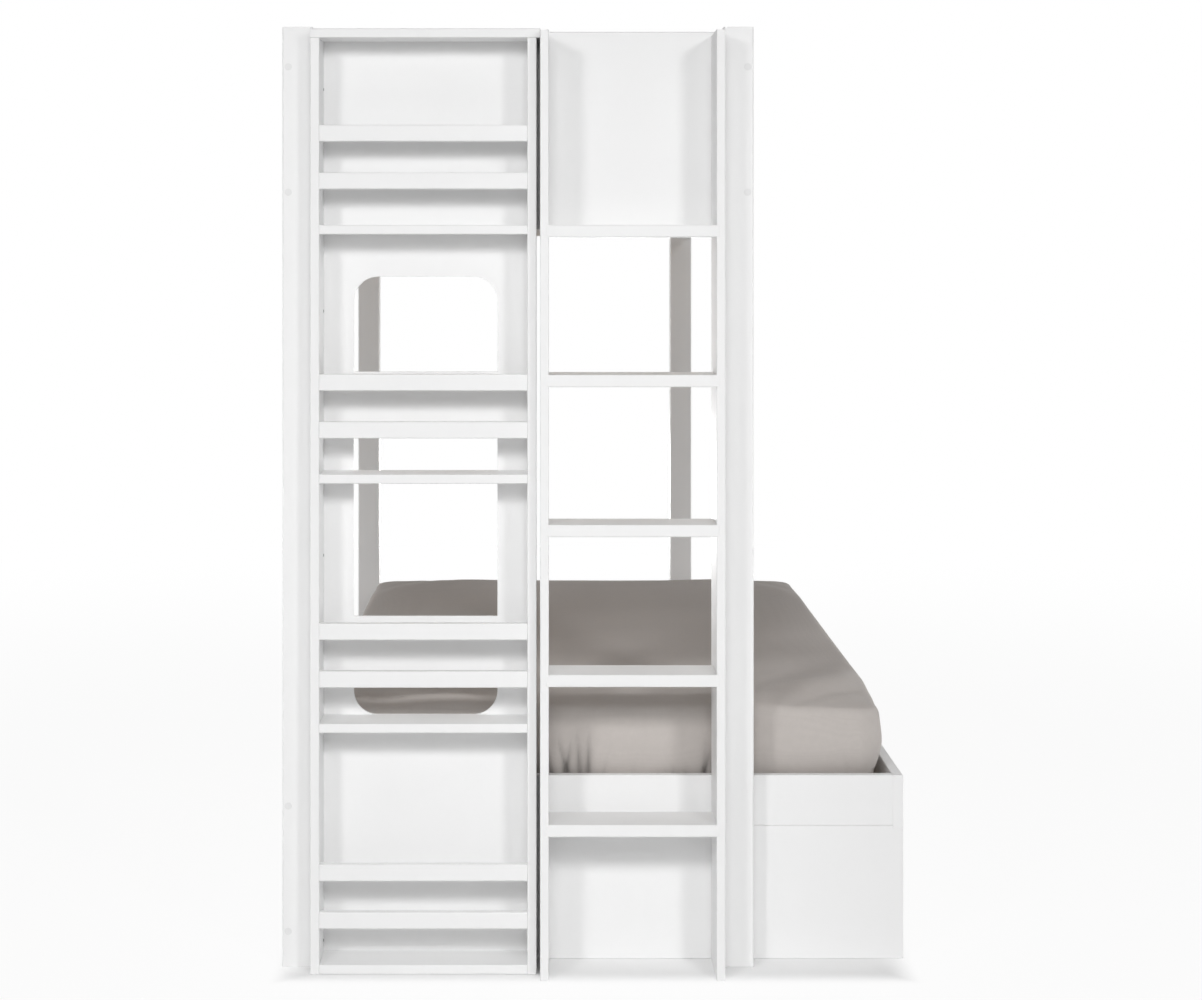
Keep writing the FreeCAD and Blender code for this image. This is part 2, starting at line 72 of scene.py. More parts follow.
# %% [markdown]
# ## Shader nodes in few words
#
# A material is a small graph. Two helpers keep its text short: one adds a node and sets it up in
# the same line, the other opens a node group with named inputs and outputs, so that an effect such
# as a paint film or a weave is built once and placed in several materials with its own values.

# %% Helpers for nodes
def add(tree, kind, **settings):
    """A node, with its settings in small letters and its sockets in capitals."""
    node = tree.nodes.new(kind)
    for key, value in settings.items():
        if key[0].isupper():
            node.inputs[key.replace("_", " ")].default_value = value
        else:
            setattr(node, key, value)
    return node


def group(name, inputs, outputs):
    """A node group with its input and output nodes."""
    tree = bpy.data.node_groups.new(name, "ShaderNodeTree")
    for label, kind, value in inputs:
        socket = tree.interface.new_socket(name=label, in_out="INPUT", socket_type=kind)
        socket.default_value = value
    for label, kind in outputs:
        tree.interface.new_socket(name=label, in_out="OUTPUT", socket_type=kind)
    return tree, add(tree, "NodeGroupInput"), add(tree, "NodeGroupOutput")


def join(tree, start, end):
    """A link between two sockets."""
    tree.links.new(start, end)


def math_node(tree, operation, first, second):
    """A math node fed by sockets or plain numbers."""
    node = add(tree, "ShaderNodeMath", operation=operation)
    for socket, value in zip(node.inputs, (first, second)):
        if isinstance(value, (int, float)):
            socket.default_value = value
        else:
            join(tree, value, socket)
    return node.outputs["Value"]


COLOUR = "NodeSocketColor"
NUMBER = "NodeSocketFloat"
VECTOR = "NodeSocketVector"
print("node helpers are ready")

# %% [markdown]
# ## Paint film
#
# Sprayed paint on board is never quite even: the film pulls into a fine orange peel, and its tone
# and gloss drift a little over a hand's width. One slow noise drives tone and gloss, one fast
# noise drives the height of the peel. Both read the object's own coordinates, so the film stays
# on a drawer when it rolls out.

# %% Paint film group
def paint_film():
    """The colour, roughness and height of a sprayed film of paint."""
    tree, start, end = group(
        "paint_film",
        [("Colour", COLOUR, (1, 1, 1, 1)), ("Drift", NUMBER, 0.02), ("Gloss drift", NUMBER, 0.08),
         ("Roughness", NUMBER, 0.45)],
        [("Colour", COLOUR), ("Roughness", NUMBER), ("Height", NUMBER)])
    place = add(tree, "ShaderNodeTexCoord").outputs["Object"]
    slow = add(tree, "ShaderNodeTexNoise", Scale=5.0, Detail=3.0, Roughness=0.55)
    peel = add(tree, "ShaderNodeTexNoise", Scale=420.0, Detail=2.0, Roughness=0.5)
    for texture in (slow, peel):
        join(tree, place, texture.inputs["Vector"])
    drift = math_node(tree, "MULTIPLY", slow.outputs["Fac"], start.outputs["Drift"])
    keep = math_node(tree, "SUBTRACT", 1.0, drift)
    shade = add(tree, "ShaderNodeVectorMath", operation="SCALE")
    join(tree, start.outputs["Colour"], shade.inputs[0])
    join(tree, keep, shade.inputs["Scale"])
    join(tree, shade.outputs["Vector"], end.inputs["Colour"])
    centred = math_node(tree, "SUBTRACT", slow.outputs["Fac"], 0.5)
    gloss = math_node(tree, "MULTIPLY", centred, start.outputs["Gloss drift"])
    join(tree, math_node(tree, "ADD", start.outputs["Roughness"], gloss), end.inputs["Roughness"])
    join(tree, peel.outputs["Fac"], end.inputs["Height"])
    return tree


paint_film_group = paint_film()
print("group:", paint_film_group.name)

# %% [markdown]
# ## Wood grain
#
# A planed softwood slat shows long streaks of early and late wood, with a fleck here and there.
# Streaks are noise that is stretched along the board, warped a little so that no line is ruler
# straight. The group takes its vector from outside: each material turns the grain along its own
# boards with a Mapping node.

# %% Wood grain group
def wood_grain():
    """The colour and height of planed pine."""
    tree, start, end = group(
        "wood_grain",
        [("Vector", VECTOR, (0, 0, 0)), ("Early wood", COLOUR, (1, 1, 1, 1)),
         ("Late wood", COLOUR, (0, 0, 0, 1))],
        [("Colour", COLOUR), ("Height", NUMBER)])
    rings = add(tree, "ShaderNodeTexNoise", Scale=26.0, Detail=4.0, Roughness=0.6, Distortion=0.4)
    fibre = add(tree, "ShaderNodeTexNoise", Scale=240.0, Detail=2.0, Roughness=0.5)
    for texture in (rings, fibre):
        join(tree, start.outputs["Vector"], texture.inputs["Vector"])
    ramp = add(tree, "ShaderNodeValToRGB")
    ramp.color_ramp.elements[0].position = 0.42
    ramp.color_ramp.elements[1].position = 0.62
    join(tree, rings.outputs["Fac"], ramp.inputs["Fac"])
    tone = add(tree, "ShaderNodeMix", data_type="RGBA")
    join(tree, ramp.outputs["Color"], tone.inputs["Factor"])
    join(tree, start.outputs["Early wood"], tone.inputs["A"])
    join(tree, start.outputs["Late wood"], tone.inputs["B"])
    join(tree, tone.outputs["Result"], end.inputs["Colour"])
    total = math_node(tree, "ADD", fibre.outputs["Fac"], rings.outputs["Fac"])
    join(tree, total, end.inputs["Height"])
    return tree


wood_grain_group = wood_grain()
print("group:", wood_grain_group.name)

# %% [markdown]
# ## Weave
#
# The fitted sheets are plain-woven cotton. Three sets of thin bands, one along each axis, give
# warp and weft on the top and on every side of the mattress alike, because on each face one of the
# three stands still. The same bands paint the tops of the threads a little lighter, as painted light.
# A slow noise adds the faint mottle that washed cotton has, and the mesh's own attribute "crease"
# paints shade into the cloth inside its gathers, darker where a crease is deeper.

# %% Weave group
# Painted light: the weave's bands make the tops of the threads lighter in colour.
PAINTED_THREAD_LIGHT = 0.02         # how much lighter the top of a thread is
# Painted shade: the crease attribute darkens the colour inside the gathers, by at most this much.
DEEPEST_PAINTED_CREASE_SHADE = 0.5        # no crease takes more than this from the colour


def weave():
    """The colour and height of woven cotton, with painted light and shade."""
    tree, start, end = group(
        "weave",
        [("Colour", COLOUR, (1, 1, 1, 1)), ("Thread scale", NUMBER, 260.0), ("Mottle", NUMBER, 0.1),
         ("Crease shade", NUMBER, 0.8)],
        [("Colour", COLOUR), ("Height", NUMBER)])
    place = add(tree, "ShaderNodeTexCoord").outputs["Object"]
    total = 0.0
    for axis in ("X", "Y", "Z"):
        bands = add(tree, "ShaderNodeTexWave", bands_direction=axis, Distortion=0.6, Detail=1.0)
        join(tree, place, bands.inputs["Vector"])
        join(tree, start.outputs["Thread scale"], bands.inputs["Scale"])
        total = math_node(tree, "ADD", total, bands.outputs["Fac"])
    join(tree, total, end.inputs["Height"])
    mottle = add(tree, "ShaderNodeTexNoise", Scale=70.0, Detail=5.0, Roughness=0.7)
    join(tree, place, mottle.inputs["Vector"])
    depth = math_node(tree, "MULTIPLY", mottle.outputs["Fac"], start.outputs["Mottle"])
    # painted light: the tops of the threads are made lighter
    threads = math_node(tree, "MULTIPLY", total, PAINTED_THREAD_LIGHT)
    keep = math_node(tree, "SUBTRACT", 1.0, math_node(tree, "SUBTRACT", depth, threads))
    # painted shade: the mesh's crease depth darkens the colour inside the gathers
    crease = add(tree, "ShaderNodeAttribute", attribute_name="crease").outputs["Fac"]
    dark = math_node(tree, "MULTIPLY", crease, start.outputs["Crease shade"])
    keep = math_node(tree, "SUBTRACT", keep, math_node(tree, "MINIMUM", dark, DEEPEST_PAINTED_CREASE_SHADE))
    shade = add(tree, "ShaderNodeVectorMath", operation="SCALE")
    join(tree, start.outputs["Colour"], shade.inputs[0])
    join(tree, keep, shade.inputs["Scale"])
    join(tree, shade.outputs["Vector"], end.inputs["Colour"])
    return tree


weave_group = weave()
print("group:", weave_group.name)

# %% [markdown]
# ## The materials
#
# Each material is one Principled shader. What changes over the surface comes from a group; what is
# the same all over, such as the sheen of the cloth or the metal of the bolts, is set on the
# shader's own socket.

# %% Material helpers
PEEL_DEPTH = 0.2 * MM
GRAIN_BUMP = 0.25
GRAIN_DEPTH = 0.3 * MM
GRAIN_STRETCH = 0.06        # the grain's scale along a board, as a share of that across it
WEAVE_BUMP = 0.25
WEAVE_DEPTH = 0.25 * MM


def material(name, **settings):
    """A material with its tree and its Principled shader."""
    made = bpy.data.materials.new(name)
    made.use_nodes = True
    shader = made.node_tree.nodes["Principled BSDF"]
    for key, value in settings.items():
        shader.inputs[key.replace("_", " ")].default_value = value
    return made, made.node_tree, shader


def bumped(tree, shader, height, strength, distance):
    """A bump from a height socket into the shader's normal."""
    bump = add(tree, "ShaderNodeBump", Strength=strength, Distance=distance)
    join(tree, height, bump.inputs["Height"])
    join(tree, bump.outputs["Normal"], shader.inputs["Normal"])


def filmed(name, colour, roughness, drift, peel, **settings):
    """A paint or plastic with the paint film's drift, gloss and peel."""
    made, tree, shader = material(name, **settings)
    film = add(tree, "ShaderNodeGroup", node_tree=paint_film_group, Colour=colour, Drift=drift,
               Roughness=roughness)
    join(tree, film.outputs["Colour"], shader.inputs["Base Color"])
    join(tree, film.outputs["Roughness"], shader.inputs["Roughness"])
    bumped(tree, shader, film.outputs["Height"], peel, PEEL_DEPTH)
    return made


def grained(name, turn):
    """Planed pine with its grain along X, or turned."""
    made, tree, shader = material(name, Roughness=0.62)
    place = add(tree, "ShaderNodeTexCoord").outputs["Object"]
    along = add(tree, "ShaderNodeMapping", Rotation=(0, 0, turn), Scale=(GRAIN_STRETCH, 1, 1))
    grain = add(tree, "ShaderNodeGroup", node_tree=wood_grain_group, Early_wood=PINE_LIGHT,
                Late_wood=PINE_DARK)
    join(tree, place, along.inputs["Vector"])
    join(tree, along.outputs["Vector"], grain.inputs["Vector"])
    join(tree, grain.outputs["Colour"], shader.inputs["Base Color"])
    bumped(tree, shader, grain.outputs["Height"], GRAIN_BUMP, GRAIN_DEPTH)
    return made


def woven(name, colour):
    """Cotton cloth with a soft sheen."""
    made, tree, shader = material(name, Roughness=0.92, Sheen_Weight=0.12, Sheen_Roughness=0.6)
    cloth = add(tree, "ShaderNodeGroup", node_tree=weave_group, Colour=colour)
    join(tree, cloth.outputs["Colour"], shader.inputs["Base Color"])
    bumped(tree, shader, cloth.outputs["Height"], WEAVE_BUMP, WEAVE_DEPTH)
    return made


# %% The materials of this bed
PINE_LIGHT = (0.72, 0.53, 0.33, 1)
PINE_DARK = (0.50, 0.32, 0.17, 1)
white_paint = filmed("white_satin_paint", (0.87, 0.87, 0.87, 1), roughness=0.45, drift=0.02, peel=0.12)
cap_plastic = filmed("white_cap_plastic", (0.80, 0.80, 0.80, 1), roughness=0.5, drift=0.02, peel=0.1)
wheel_plastic = filmed("dark_wheel_plastic", (0.035, 0.035, 0.038, 1), roughness=0.5, drift=0.2, peel=0.2)
zinc_steel = filmed("zinc_plated_steel", (0.62, 0.63, 0.65, 1), roughness=0.34, drift=0.15, peel=0.1,
                    Metallic=1.0)
screw_steel = filmed("dark_screw_steel", (0.10, 0.10, 0.11, 1), roughness=0.4, drift=0.15, peel=0.1,
                     Metallic=1.0)
pine_across = grained("pine_across_the_bed", 0)
pine_along = grained("pine_along_the_bed", math.pi / 2)
sheet_cotton = woven("taupe_cotton_sheet", (0.53, 0.492, 0.466, 1))
print("materials:", len(bpy.data.materials))

# %% [markdown]
# ## Boards
#
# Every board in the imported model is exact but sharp. A painted board has soft edges that catch a
# thin line of light, so each one is copied, its loose triangles are merged, flat neighbours are
# joined again, and the sharp edges get a small rounded bevel. Weighted normals keep the wide
# faces flat and let only the bevels turn.

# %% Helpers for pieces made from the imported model
WELD = 0.002 * MM
FLAT = math.radians(0.5)
SHARP = math.radians(30)
FACE_WEIGHT = 80            # how strongly the wide faces hold the normals


def merged(node):
    """A joined-up copy of a node's mesh."""
    shape = bmesh.new()
    shape.from_mesh(frame["nodes"][node].data)
    bmesh.ops.remove_doubles(shape, verts=shape.verts, dist=WELD)
    bmesh.ops.dissolve_limit(shape, angle_limit=FLAT, verts=shape.verts, edges=shape.edges)
    return shape


def rounded(shape, width, segments):
    """Rounds the sharp edges of a shape."""
    sharp = [edge for edge in shape.edges if edge.is_manifold and edge.calc_face_angle() > SHARP]
    bmesh.ops.bevel(shape, geom=sharp, offset=width, segments=segments, profile=0.5,
                    affect="EDGES", material=-1, clamp_overlap=True)
    return shape


def piece(name, shape, body, finish):
    """A finished object from a bmesh, riding on a body."""
    mesh = bpy.data.meshes.new(name)
    shape.to_mesh(mesh)
    shape.free()
    for face in mesh.polygons:
        face.use_smooth = True
    mesh.materials.append(finish)
    made = bpy.data.objects.new(name, mesh)
    bpy.context.scene.collection.objects.link(made)
    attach(made, body)
    return made


def even_normals(made):
    """Normals that follow the wide faces."""
    modifier = made.modifiers.new("even_normals", "WEIGHTED_NORMAL")
    modifier.weight = FACE_WEIGHT


def body_of(node):
    """The body that a node rides on."""
    bodies = frame["record"]["behaviour"]["bodies"]
    return next(body for body, members in bodies.items() if node in members)


def soft_edged(node, finish, width, segments=2):
    """A node's board with rounded edges, standing for the node."""
    made = piece("eased_" + node, rounded(merged(node), width, segments), body_of(node), finish)
    even_normals(made)
    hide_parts(node)


# %% Painted boards
PAINTED_EDGE = 0.65 * MM
slot_of = {part["node"]: part["material_slot"] for part in frame["record"]["subparts"]}
painted = [node for node, slot in slot_of.items() if slot == "white_paint"]
for node in painted:
    soft_edged(node, white_paint, PAINTED_EDGE)
print("painted boards:", len(painted))

# %% [markdown]
# ## Slats and cleats
#
# The slats and what carries them are planed pine, left bare, with the sharp arris just taken off.
# Slats cross the bed and cleats run along it, so they take the two turns of the same grain.

# %% Slats, cleats and the centre rail
SLAT_EDGE = 1.5 * MM
CLEAT_EDGE = 0.5 * MM
for node in ("upper_slats", "lower_slats"):
    soft_edged(node, pine_across, SLAT_EDGE)
for node in ("upper_cleats", "lower_cleats", "lower_centre_rail"):
    soft_edged(node, pine_along, CLEAT_EDGE)
print("bare pine: slats, cleats and centre rail")

# %% [markdown]
# ## Small fittings
#
# The bolts are right as they are packed, so they only get their zinc. The caps over them get a
# round edge, and the folded steel of the castor forks loses its sharp one.

# %% Bolts, caps and forks
CAP_EDGE = 0.5 * MM
FORK_EDGE = 0.3 * MM
soft_edged("bolt_caps", cap_plastic, CAP_EDGE, segments=3)
bolt_materials = frame["nodes"]["bed_bolts"].data.materials
bolt_materials.clear()
bolt_materials.append(zinc_steel)
for number in (1, 2):
    soft_edged(f"drawer_{number}_castor_forks", zinc_steel, FORK_EDGE)
print("bolts, bolt caps and castor forks")

# %% [markdown]
# ## Castor wheels
#
# A small furniture wheel is moulded: a hub round the axle, a thin web, and a tread with rounded
# shoulders. It is a turned shape, so one outline is spun about the axle. It keeps the packed
# wheel's radius, width and bore.

# %% Castor wheels
WHEEL_OUTLINE = ((3.05, -9.0), (6.6, -9.0), (7.2, -8.4), (7.6, -4.4), (8.4, -3.6), (15.2, -3.6),
                 (16.0, -4.4), (16.5, -7.8), (17.4, -8.7), (19.6, -8.7), (21.2, -7.6), (22.0, -5.4))
SPIN_STEPS = 40


def spun(outline, middle):
    """A closed ring from an outline of radius and side, spun about the Y axis."""
    shape = bmesh.new()
    points = [shape.verts.new((middle.x + radius * MM, middle.y + side * MM, middle.z))
              for radius, side in outline]
    lines = [shape.edges.new((first, second)) for first, second in zip(points, points[1:] + points[:1])]
    bmesh.ops.spin(shape, geom=points + lines, cent=middle, axis=(0, 1, 0), dvec=(0, 0, 0),
                   angle=2 * math.pi, steps=SPIN_STEPS, use_merge=True)
    bmesh.ops.remove_doubles(shape, verts=shape.verts, dist=WELD)
    bmesh.ops.recalc_face_normals(shape, faces=shape.faces)
    return shape


def parts_of(node):
    """The lowest and highest corner of each separate solid of a node."""
    shape = merged(node)
    left = set(shape.verts)
    corners = []
    while left:
        reached = [left.pop()]
        for vertex in reached:
            near = {edge.other_vert(vertex) for edge in vertex.link_edges} & left
            reached += near
            left -= near
        places = [vertex.co for vertex in reached]
        corners.append((Vector(map(min, *places)), Vector(map(max, *places))))
    shape.free()
    return sorted(corners, key=lambda pair: tuple(pair[0]))


def combined(shapes):
    """Several shapes in one."""
    whole = bmesh.new()
    for shape in shapes:
        mesh = bpy.data.meshes.new("passing")
        shape.to_mesh(mesh)
        shape.free()
        whole.from_mesh(mesh)
        bpy.data.meshes.remove(mesh)
    return whole


outline = WHEEL_OUTLINE + tuple((radius, -side) for radius, side in reversed(WHEEL_OUTLINE))
for node in [node for node, slot in slot_of.items() if slot == "wheel_plastic"]:
    wheels = [spun(outline, (low + high) / 2) for low, high in parts_of(node)]
    made = piece("moulded_" + node, combined(wheels), body_of(node), wheel_plastic)
    even_normals(made)
    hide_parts(node)
    print(made.name, len(made.data.polygons), "faces")

# %% [markdown]
# ## Screws of the bookcase
#
# Small countersunk screws hold the back panel and the shelves through the sides. They are dark
# dots on the inner faces near the back. Each head is a disc, inset for its recess and pushed in,
# with its face a hair proud of the board.

# %% Screw heads
SCREW_RADIUS = 3.2 * MM
HEAD_RISE = 0.5 * MM
HEAD_RIM = 0.8 * MM
RECESS_SLOPE = 0.96 * MM
RECESS_DEPTH = 0.39 * MM
SCREW_FORWARD = 4.0 * MM    # of the back panel
SCREW_HEIGHTS = (1.823, 1.359, 0.848, 0.042)


def screw_head(place, outward):
    """A round head with a sunk middle, facing outward."""
    shape = bmesh.new()
    bmesh.ops.create_circle(shape, cap_ends=True, radius=SCREW_RADIUS, segments=20)
    face = shape.faces[:][0]
    raised = bmesh.ops.extrude_face_region(shape, geom=[face])["geom"]
    bmesh.ops.translate(shape, vec=(0, 0, HEAD_RISE),
                        verts=[item for item in raised if isinstance(item, bmesh.types.BMVert)])
    top = next(item for item in raised if isinstance(item, bmesh.types.BMFace))
    bmesh.ops.inset_region(shape, faces=[top], thickness=HEAD_RIM, depth=0)
    bmesh.ops.inset_region(shape, faces=[top], thickness=RECESS_SLOPE, depth=-RECESS_DEPTH)
    bmesh.ops.recalc_face_normals(shape, faces=shape.faces)
    turn = Vector((0, 0, 1)).rotation_difference(Vector(outward)).to_matrix().to_4x4()
    bmesh.ops.transform(shape, matrix=Matrix.Translation(place) @ turn, verts=shape.verts)
    return shape


case_left_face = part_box("bookcase_side_left")[1].x
case_right_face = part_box("bookcase_side_right")[0].x
screw_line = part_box("bookcase_back")[0].y - SCREW_FORWARD
heads = []
for height in SCREW_HEIGHTS:
    heads.append(screw_head((case_left_face, screw_line, height), (1, 0, 0)))
    heads.append(screw_head((case_right_face, screw_line, height), (-1, 0, 0)))
piece("case_screws", combined(heads), "frame", screw_steel)
print("screw heads:", len(heads))

# %% [markdown]
# ## A mattress in its fitted sheet
#
# The sheet is drawn tight over the foam: flat on top with a slight crown, round along the upper
# edge, and held under the mattress by an elastic hem that gathers the cloth above it. The form
# starts as a flat grid whose rim is extruded down. Its points are then moved onto the rounded
# shape, a cloth simulation lets the sheet settle under a little pressure, and one subdivision
# makes room for the gathers.

# %% Numbers of the mattresses
CELL = 14 * MM              # side of a face before the subdivision
CORNER = 60 * MM            # corner radius seen from above
EDGE = 17 * MM              # radius of the upper edge
CROWN = 5 * MM              # how much higher the middle of the top is than its edge
CROWN_REACH = 300 * MM      # how far in from the rim the crown rises
DRAW_IN = 13 * MM           # how far the sides pull in at the bottom
CORNER_DRAW_IN = 15 * MM    # and how much further at the corners
START_IN = 2 * MM           # the form starts smaller, because the pressure swells it
DRAG_REACH = 364 * MM       # a corner's sag starts where the depths from its two sides add up to this
SAG = 11 * MM               # how far the top sinks at a near corner
SAG_IN = 7 * MM             # how far the shoulder draws in there
FAR_SHARE = 0.3             # of both at a far corner
SHOULDER = 90 * MM          # height of the part that draws in
TUCK_START = 0.4            # of the way down, where the sides begin to pull in


def smooth_step(value):
    """0 below 0, 1 above 1, with soft ends."""
    value = min(1.0, max(0.0, value))
    return value * value * (3 - 2 * value)


def round_edge(run):
    """How far in and how far down a point of the upper edge lies, by its run from the flat rim."""
    turn = math.pi / 4 * (1 + max(-1.0, min(1.0, run / EDGE)))
    return EDGE * (1 - math.cos(turn)), EDGE * (1 - math.sin(turn))


def drawn_in(depth, inset):
    """A point's depth behind one side, once the side itself lies in by an inset."""
    if depth >= EDGE:
        return depth
    first = round_edge(0)[0]
    part = (round_edge(depth)[0] - first) / (EDGE - first)
    return inset + (EDGE - inset) * part


def ring_round(x, y, half):
    """Turns square rings round the corners into quarter circles."""
    over = Vector((abs(x) - half[0] + CORNER, abs(y) - half[1] + CORNER))
    if min(over) > 0:
        over = over.normalized() * max(over)
        x = math.copysign(half[0] - CORNER + over.x, x)
        y = math.copysign(half[1] - CORNER + over.y, y)
    return x, y


# %% The mattress form
def new_points(made):
    """The vertices in the result of a bmesh operator."""
    return [item for item in made["geom"] if isinstance(item, bmesh.types.BMVert)]


def gridded(half, deep):
    """A flat grid whose rim is extruded down in rows."""
    shape = bmesh.new()
    counts = [round(2 * side / CELL) for side in half]
    bmesh.ops.create_grid(shape, x_segments=counts[0], y_segments=counts[1], size=1,
                          matrix=Matrix.Diagonal((half[0], half[1], 1, 1)))
    rim = [edge for edge in shape.edges if edge.is_boundary]
    rows = round(deep / CELL)
    for _ in range(rows):
        made = bmesh.ops.extrude_edge_only(shape, edges=rim)
        bmesh.ops.translate(shape, vec=(0, 0, -deep / rows), verts=new_points(made))
        rim = [item for item in made["geom"] if isinstance(item, bmesh.types.BMEdge) and item.is_boundary]
    bmesh.ops.recalc_face_normals(shape, faces=shape.faces)
    return shape


def mattress_form(low, high):
    """The grid with its points moved onto the rounded, crowned form of a mattress."""
    middle = (low + high) / 2
    half = [(high[axis] - low[axis]) / 2 - START_IN for axis in (0, 1)]
    top = high.z - START_IN - CROWN
    deep = top - low.z
    shape = gridded(half, deep)
    for vertex in shape.verts:
        depth = [max(0.0, half[axis] - abs(vertex.co[axis])) for axis in (0, 1)]
        below = max(0.0, -vertex.co.z)
        inset, drop = round_edge(-below if below > 0 else min(depth))
        rise = 1.0
        for value in depth:
            rise *= 1 - (1 - min(1.0, value / CROWN_REACH)) ** 2
        height = top - (below if below > EDGE else drop) + CROWN * rise
        corner = smooth_step((DRAG_REACH - sum(depth)) / DRAG_REACH)
        if below > 0:
            tuck = smooth_step((below / deep - TUCK_START) / (1 - TUCK_START))
            inset += (DRAW_IN + CORNER_DRAW_IN * corner) * tuck
        else:
            inset = round_edge(0)[0]
        shoulder = smooth_step(1 - (top - height) / SHOULDER) * (FAR_SHARE if vertex.co.y > 0 else 1)
        height -= SAG * corner * shoulder
        inset += SAG_IN * corner * shoulder
        flat = [math.copysign(half[axis] - drawn_in(depth[axis], inset), vertex.co[axis])
                for axis in (0, 1)]
        x, y = ring_round(*flat, half)
        vertex.co = (middle.x + x, middle.y + y, height)
    return shape


print("mattress form is defined")

# %% [markdown]
# ## Letting the sheet settle
#
# The cloth is pinned along its lowest rows, where the elastic holds it. Pressure from inside lifts
# the top and rounds the sides. Left alone, it would blow the sheet up like a balloon, so each
# point's move is cut off at a few millimetres, and the mattress keeps its size. The result is
# applied, which leaves a plain mesh. Two runs don't come out quite alike, but nearly every point
# lies within a fraction of a millimetre of its place in the other run.

# %% Cloth simulation
SETTLE_FRAMES = 14
LARGEST_MOVE = 5 * MM
PINNED_HEIGHT = 1.5 * CELL
SOLVER_STEPS = 5
VERTEX_MASS = 0.25
PRESSURE = 4.0


def applied(made):
    """Replaces an object's mesh by what its modifiers make of it."""
    graph = bpy.context.evaluated_depsgraph_get()
    result = bpy.data.meshes.new_from_object(made.evaluated_get(graph))
    made.modifiers.clear()
    made.data = result


def settled(shape, low):
    """The shape after a short cloth simulation, pinned along its lowest rows."""
    mesh = bpy.data.meshes.new("settling")
    shape.to_mesh(mesh)
    shape.free()
    made = bpy.data.objects.new("settling", mesh)
    bpy.context.scene.collection.objects.link(made)
    start = [vertex.co.copy() for vertex in mesh.vertices]
    pinned = made.vertex_groups.new(name="hem")
    pinned.add([number for number, place in enumerate(start) if place.z < low.z + PINNED_HEIGHT],
               1.0, "REPLACE")
    cloth = made.modifiers.new("sheet", "CLOTH")
    cloth.settings.vertex_group_mass = pinned.name
    cloth.settings.quality = SOLVER_STEPS
    cloth.settings.mass = VERTEX_MASS
    cloth.settings.use_pressure = True
    cloth.settings.uniform_pressure_force = PRESSURE
    cloth.settings.effector_weights.gravity = 0.0
    cloth.point_cache.frame_end = SETTLE_FRAMES
    for number in range(1, SETTLE_FRAMES + 1):
        bpy.context.scene.frame_set(number)
    applied(made)
    bpy.context.scene.frame_set(1)
    moves = [vertex.co - place for vertex, place in zip(made.data.vertices, start)]
    for vertex, place, move in zip(made.data.vertices, start, moves):
        vertex.co = place + move * min(1.0, LARGEST_MOVE / max(move.length, LARGEST_MOVE))
    print("largest move:", round(max(move.length for move in moves) / MM, 1), "mm before the cap")
    return made


# %% [markdown]
# ## Gathers, drag folds and the turned-under hem
#
# The elastic gathers the cloth into creases that rise from the hem, lean a little and fade out a
# hand's width up. They come in groups, so a slow noise picks where they are deep. On the top, each
# corner drags the sheet into soft folds that run across the corner. The lower sides get finer
# faces first, so that a crease stays sharp. Below, the cloth turns under the foam and is closed.

# %% Numbers of the gathers and folds
GATHER_PITCH = 19 * MM      # from crease to crease
GATHER_RISE = 180 * MM      # of the tallest crease, above the hem
LEAST_RISE = 0.4            # share of that of the shortest
GATHER_DEPTH = 15 * MM      # of the deepest crease
LEAST_DEPTH = 0.3           # share of that of the shallowest
GATHER_WIDTH = 4.6 * MM
GATHER_LEAN = 0.30
START_LOW = 0.2             # a crease starts this far into its pitch
START_PLAY = 0.6            # or up to this much further
CREASE_KEY = 53             # picks the creases' heights, depths and leans
SIDE_KEY = 10               # and others along the bed than across it
GROUP_RATE = 4.2            # groups of deep creases in a metre, about
GROUP_SHIFT = 158.95        # where the run of groups starts
GROUP_CONTRAST = 2.6
LEAST_GROUP = 0.08          # depth left between the groups
FINE_RISE = 200 * MM        # how high the finer faces reach
LEVEL_SLOPE = 0.3           # an edge that climbs less than this counts as level
# Each fold's way towards the corner from where the sag starts, its rise and its width, in mm:
DRAG_FOLDS = ((28, 16.0, 64), (96, -5.5, 26), (134, 4.0, 22), (-70, 3.0, 40))
DRAG_FADE = 70 * MM         # the folds fade out this near to the sides
CORNER_KEY = (3, 5)         # gives each corner its own folds
FOLD_BEND = 30              # in mm too
BEND_RATE = 3.0
BEND_STRIDE = 7.3           # from fold to fold in the noise
FOLD_RATE = 4.0
FOLD_STRIDE = 4.1
FOLD_SHIFT = 0.8
LEAST_FOLD = 0.4
SIDE_WAVE = 1.2 * MM
SIDE_RATES = (11, 11, 3)
SIDE_BIAS = 0.1             # the sides lean in by this share of a wave
TOP_WAVE = 1.6 * MM
TOP_RATES = (3.1, 2.2, 0)
HEM_TUCK = 45 * MM          # turned under all round
SEEDS = {"lower_mattress": 14.0, "upper_mattress": 9.0}


# %% Gathers and folds
def share(number, seed, turn):
    """A number from 0 to 1 that stays the same for one crease."""
    return 0.5 + 0.5 * noise.cell(Vector((number + 0.5, seed + 0.5, turn + 0.5)))


def at_least(least, part):
    """From a least value up to 1, by a part from 0 to 1."""
    return least + (1 - least) * part


def wave(place, rates, key):
    """A noise over a place, with its own rate along each axis."""
    x, y, z = (value * rate for value, rate in zip(place, rates))
    return noise.noise(Vector((x, y, z + key)))


def crease(run, height, seed):
    """How far the cloth lies in at a run along the hem and a height above it."""
    depth = 0.0
    first = math.floor(run / GATHER_PITCH)
    for number in (first - 1, first, first + 1):
        rise = GATHER_RISE * at_least(LEAST_RISE, share(number, seed, 1))
        fade = smooth_step(1 - height / rise)
        start = (number + START_LOW + START_PLAY * share(number, seed, 2)) * GATHER_PITCH
        lean = GATHER_LEAN * (2 * share(number, seed, 3) - 1)
        away = abs(run - start - lean * height) / GATHER_WIDTH
        depth += fade * at_least(LEAST_DEPTH, share(number, seed, 4)) * math.exp(-away)
    return depth


